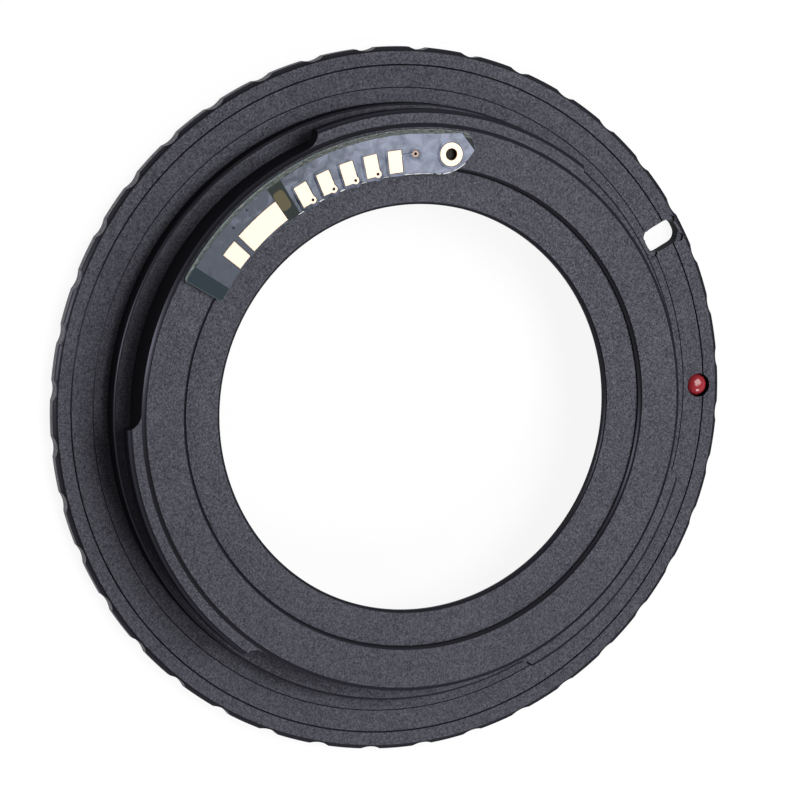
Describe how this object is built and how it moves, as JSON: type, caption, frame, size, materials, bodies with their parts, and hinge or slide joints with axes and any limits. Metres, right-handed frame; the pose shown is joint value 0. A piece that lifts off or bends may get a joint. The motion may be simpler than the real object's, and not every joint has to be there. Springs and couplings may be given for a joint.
{
  "type": "lens mount adapter",
  "caption": "Flat flanged ring that carries a screw-thread lens on a bayonet camera, with an inner lip, bayonet lugs, a red index bead and a glued arc-shaped contact board.",
  "frame": {"origin": "centre of the lens seat, on the optical axis, at the bottom of the ring as it lies on its lens side", "axes": "+Z along the optical axis towards the camera, +X from the axis to the index bead"},
  "size_m": [0.0636, 0.0636, 0.0077],
  "materials": {
    "ring": "bead-blasted, black anodised, matte",
    "bead": "glossy red enamel",
    "laminate": "dark green glass-epoxy laminate",
    "mask": "glossy blue-grey solder mask",
    "adhesive": "clear cured glue",
    "contacts": "gold plated copper",
    "chip": "black moulded epoxy",
    "ceramic": "tan fired ceramic"
  },
  "bodies": {
    "root": {"adapter_ring": "ring", "index_bead": "bead", "board_laminate": "laminate", "solder_mask": "mask", "adhesive_film": "adhesive", "plated_eyelet": "contacts", "long_contact": "contacts", "square_contact": "contacts", "controller_chip": "chip", "capacitor": "ceramic", "contact_1": "contacts", "contact_2": "contacts", "contact_3": "contacts", "contact_4": "contacts", "contact_5": "contacts"}
  },
  "joints": []
}
